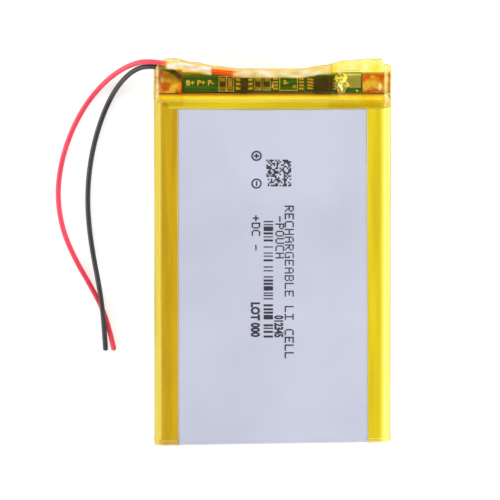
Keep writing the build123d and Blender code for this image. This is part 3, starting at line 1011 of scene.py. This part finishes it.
def dot_text(text, x_span, y_span):
    """Dot-matrix characters that read along -Y, their tops towards +X, filling the given spans."""
    (x0, x1), (y0, y1) = x_span, y_span
    row_step = (x1 - x0) / 6.8
    advance = (y1 - y0) / len(text)
    dot_step = advance * 0.72 / 4.6
    dot_radius = 0.155
    dots = []
    for place_in_line, letter in enumerate(text):
        for row, cells in enumerate(FONT[letter]):
            for column, cell in enumerate(cells):
                if cell == "#":
                    x = x1 - (row + 0.4) * row_step
                    y = y1 - place_in_line * advance - (column + 0.5) * dot_step
                    dots.append(disc(x, y, dot_radius))
    return dots


def random_modules(x_span, y_span, count, seed):
    """A square patch of small modules, filled at random, with hairline gaps between them."""
    draw = random.Random(seed)
    (x0, x1), (y0, y1) = x_span, y_span
    step_x, step_y = (x1 - x0) / count, (y1 - y0) / count
    filled = 0.96
    patches = []
    for column in range(count):
        for row in range(count):
            if draw.random() < 0.5:
                x, y = x0 + column * step_x, y0 + row * step_y
                patches.append(bar((x, x + step_x * filled), (y, y + step_y * filled)))
    return patches


def random_bars(x_span, y_span, seed):
    """Plain bars of uneven width across a strip."""
    draw = random.Random(seed)
    y = y_span[0]
    bars = []
    while y < y_span[1]:
        width = draw.choice((0.22, 0.25, 0.42, 0.42, 0.95))
        bars.append(bar(x_span, (y, min(y + width, y_span[1]))))
        y += width + draw.choice((0.3, 0.45, 0.6, 1.1))
    return bars


def prism_mesh(name, outlines, low_z, high_z):
    """Closed flat prisms, one on each outline."""
    points, faces = [], []
    for outline in outlines:
        start, count = len(points), len(outline)
        for z in (low_z, high_z):
            points += [Vector((x, y, z)) * MM for x, y in outline]
        faces.append([start + k for k in reversed(range(count))])
        faces.append([start + count + k for k in range(count)])
        for k in range(count):
            after = (k + 1) % count
            faces.append((start + k, start + after, start + count + after, start + count + k))
    mesh = bpy.data.meshes.new(name)
    mesh.from_pydata(points, [], faces)
    return mesh


def add_letters(mesh, text, cap_height, x, y, z, turn, narrow=1.0, weight=0.0):
    """Add solid letters to a mesh. They start at (x, y) and read along +X, turned by turn degrees."""
    capital_share = 0.7
    curve = bpy.data.curves.new("letters", "FONT")
    curve.body = text
    curve.size = cap_height / capital_share * MM
    curve.offset = weight * MM
    curve.extrude = 0.04 * MM
    curve.resolution_u = 3
    writer = bpy.data.objects.new("letters", curve)
    bpy.context.scene.collection.objects.link(writer)
    bpy.context.view_layer.update()
    evaluated = writer.evaluated_get(bpy.context.evaluated_depsgraph_get())
    letters = bpy.data.meshes.new_from_object(evaluated)
    bpy.data.objects.remove(writer)
    letters.transform(Matrix.Diagonal((narrow, 1, 1, 1)))
    letters.transform(Matrix.Rotation(radians(turn), 4, "Z"))
    letters.transform(Matrix.Translation(Vector((x, y, z)) * MM))
    joined = bmesh.new()
    joined.from_mesh(mesh)
    joined.from_mesh(letters)
    joined.to_mesh(mesh)
    joined.free()


def make_face_print():
    """Generic inkjet lines, a block of random modules, plain bars and two ringed polarity signs."""
    marks = dot_text("RECHARGEABLE LI CELL", (2.62, 4.5), (-23.0, 10.6))
    marks += dot_text("-POUCH", (0.66, 2.45), (-1.2, 8.3))
    marks += dot_text("+DC -", (-4.4, -2.66), (0.5, 8.5))
    marks += random_modules((-1.3, 3.96), (14.8, 20.6), 17, 5)
    marks += random_bars((-1.87, 0.1), (-18.1, 7.3), 9)
    sign_x, sign_radius, stroke, arm = -3.4, 0.95, 0.3, 0.5
    left, right = sign_x - stroke / 2, sign_x + stroke / 2
    for sign_y, is_plus in ((21.4, True), (15.4, False)):
        marks += ring(sign_x, sign_y, sign_radius, stroke)
        marks.append(bar((left, right), (sign_y - arm, sign_y + arm)))
        if is_plus:
            for x_span in ((sign_x - arm, left), (right, sign_x + arm)):
                marks.append(bar(x_span, (sign_y - stroke / 2, sign_y + stroke / 2)))
    mesh = prism_mesh("face_print", marks, ink_low, ink_high)
    middle_z = (ink_low + ink_high) / 2
    cap_height, weight = 1.75, 0.10
    add_letters(mesh, "012345", cap_height, 0.5, -13.3, middle_z, -90, 0.64, weight)
    add_letters(mesh, "LOT 000", cap_height, -4.5, -10.4, middle_z, -90, 0.82, weight)
    place("face_print", mesh, finishes["print_ink"])


def make_board_print():
    """White outlines, pad names and small marks round the board's parts."""
    line = 0.14
    marks = []
    for x_span, low, high in (
        ((-11.45, -9.8), -1.65, 1.65),  # two chip parts beside the lead pads
        ((-9.8, -8.2), -1.65, 1.65),
        ((-3.85, -2.4), -1.45, 1.45),  # two resistors beside the protection chip
        ((-2.1, -0.4), -1.45, 1.45),
        ((1.45, 5.35), -1.5, 1.6),  # an empty place for a third chip
    ):
        marks += frame_bars(x_span, (board_y + low, board_y + high), line)
    marks += ring(4.65, board_y - 0.65, 0.3, 0.13)
    marks.append([(-0.25, board_y - 0.9), (0.25, board_y - 0.9), (0.0, board_y + 0.5)])
    marks.append(disc(17.98, board_y - 1.55, 0.3, 4))
    low_z, high_z = board_top - 0.01, board_top + 0.025
    mesh = prism_mesh("board_print", marks, low_z, high_z)
    add_letters(mesh, "B+ P+ P-", 1.15, -18.4, board_y - 0.35, low_z, 0, weight=0.03)
    add_letters(mesh, "B-", 0.9, 2.3, board_y - 0.1, low_z, 0, weight=0.02)
    place("board_print", mesh, finishes["board_legend"])


# ---- Solder, leads and bare strands ----------------------------------
def make_tab_solder():
    """The rough lump of solder that joins the nickel strip to the board."""
    low, high = box_mm("tab_solder")
    aside = 0.15
    centre = Vector(((low.x + high.x) / 2 + aside, (low.y + high.y) / 2, low.z))
    reach = Vector((1.45, 2.0, high.z - low.z))
    shape = bmesh.new()
    bmesh.ops.create_icosphere(shape, subdivisions=5, radius=1)
    for vertex in shape.verts:
        direction = vertex.co.copy()
        rough = 1 + 0.30 * crease(direction, 0.8, 3) + 0.12 * wrinkle(direction, 0.5, 8)
        height = max(direction.z, -0.05)
        offset = Vector((direction.x, direction.y, height)) * rough
        spot = Vector((offset.x * reach.x, offset.y * reach.y, max(0.0, offset.z) * reach.z))
        vertex.co = (centre + spot) * MM
    mesh = bpy.data.meshes.new("tab_solder_lump")
    shape.to_mesh(mesh)
    shape.free()
    mesh.shade_smooth()
    place("tab_solder_lump", mesh, finishes["solder"], ["tab_solder"])


def lead_curve(name, route):
    """A round lead along a smooth curve with the route's points as its control points."""
    curve = bpy.data.curves.new(name, "CURVE")
    curve.dimensions = "3D"
    curve.bevel_depth = LEAD_DIAMETER / 2
    curve.bevel_resolution = 8
    curve.resolution_u = 14
    curve.use_fill_caps = True
    spline = curve.splines.new("NURBS")
    spline.points.add(len(route) - 1)
    for point, spot in zip(spline.points, route):
        point.co = (*spot, 1)
    spline.order_u = 3
    spline.use_endpoint_u = True
    return curve


def make_strands(name, route, node):
    """Seven bare strands that stand out of a lead's cut end: one in the middle and six round it."""
    end = Vector(route[-1])
    along = (end - Vector(route[-2])).normalized()
    across = along.cross(Vector((0, 0, 1))).normalized()
    up = across.cross(along)
    spacing, root_radius, tip_radius, buried = 0.00020, 0.000098, 0.000085, 0.00001
    draw = random.Random(17)
    strands = bmesh.new()
    for k in range(7):
        radius = 0.0 if k == 6 else spacing
        angle = k * pi / 3
        centre = end + (across * cos(angle) + up * sin(angle)) * radius
        length = 0.00025 + draw.uniform(-0.00004, 0.00004)
        made = bmesh.ops.create_cone(
            strands, cap_ends=True, segments=12, radius1=root_radius, radius2=tip_radius, depth=length
        )
        turn = along.to_track_quat("Z", "Y").to_matrix().to_4x4()
        turn.translation = centre + along * (length / 2 - buried)
        bmesh.ops.transform(strands, matrix=turn, verts=made["verts"])
    mesh = bpy.data.meshes.new(name)
    strands.to_mesh(mesh)
    strands.free()
    return place(name, mesh, finishes["tinned_copper"], [node])


def make_leads():
    for colour, route, inner_route, material, length in (
        ("red", RED_ROUTE, RED_INNER_ROUTE, red_insulation, 0.0783),
        ("black", BLACK_ROUTE, BLACK_INNER_ROUTE, black_insulation, 0.0715),
    ):
        inner = lead_curve(f"{colour}_lead_under_wrap", inner_route)
        place(inner.name, inner, material, [f"{colour}_lead_inner"])
        strands = make_strands(f"{colour}_lead_strands", route, f"{colour}_lead_tip")
        curve = lead_curve(f"{colour}_lead_free", route)
        lead = place(curve.name, curve, material, [f"{colour}_lead"])


# ---- Studio ----------------------------------------------------------
def make_floor():
    """A plain white light table, a hair below the cell."""
    half, low = 2.0, -0.00006
    mesh = bpy.data.meshes.new("table_top")
    corners = [(-half, -half, low), (half, -half, low), (half, half, low), (-half, half, low)]
    mesh.from_pydata(corners, [], [(0, 1, 2, 3)])
    floor = bpy.data.objects.new("table_top", mesh)
    bpy.context.scene.collection.objects.link(floor)
    lit_from_below = {"Emission Color": (1.0, 1.0, 1.0, 1), "Emission Strength": 0.63}
    greys = (0.49, 0.49, 0.49), (0.51, 0.51, 0.51)
    table = plain_material("light_table", *greys, 60, (0.6, 0.7), 0.01, sockets=lit_from_below)
    mesh.materials.append(table)


def add_softbox(name, location, size, power):
    """A rectangular lamp that faces the cell."""
    lamp = bpy.data.lights.new(name, "AREA")
    lamp.shape = "RECTANGLE"
    lamp.size, lamp.size_y = size
    lamp.energy = power
    softbox = bpy.data.objects.new(name, lamp)
    softbox.location = location
    softbox.rotation_euler = (-Vector(location)).to_track_quat("-Z", "Y").to_euler()
    bpy.context.scene.collection.objects.link(softbox)


def make_lights():
    add_softbox("softbox_left", (-0.68, 0.0, 0.31), (0.9, 0.45), 3.85)
    add_softbox("softbox_right", (0.68, 0.0, 0.31), (0.9, 0.45), 4.5)
    add_softbox("softbox_back", (0.0, 0.66, 0.42), (0.9, 0.30), 3.4)
    add_softbox("softbox_front", (0.0, -0.62, 0.42), (0.9, 0.25), 2.4)
    world = bpy.data.worlds.new("studio")
    world.use_nodes = True
    background = world.node_tree.nodes["Background"]
    background.inputs["Color"].default_value = (1.0, 1.0, 1.0, 1)
    background.inputs["Strength"].default_value = 0.28
    bpy.context.scene.world = world
    bpy.context.scene.view_settings.view_transform = "Standard"


def make_camera():
    """A long lens, almost straight above, leaning a little towards the board end."""
    lean, distance, view_width = radians(12), 2.5, 0.1064
    target = Vector((-0.00479, 0.00097, face_z * MM))
    lens = bpy.data.cameras.new("camera")
    lens.sensor_width = 36
    lens.lens = lens.sensor_width * distance / view_width
    lens.clip_end = 10
    camera = bpy.data.objects.new("camera", lens)
    camera.location = target + distance * Vector((0, sin(lean), cos(lean)))
    camera.rotation_euler = (-lean, 0, 0)
    bpy.context.scene.collection.objects.link(camera)
    bpy.context.scene.camera = camera


# ---- Build everything ------------------------------------------------
make_camera()
make_leads()
dress_cad_nodes()
make_pouch()
make_side_tapes()
make_shoulder_tape()
make_end_wrap()
make_face_print()
make_board_print()
make_tab_solder()
make_floor()
make_lights()
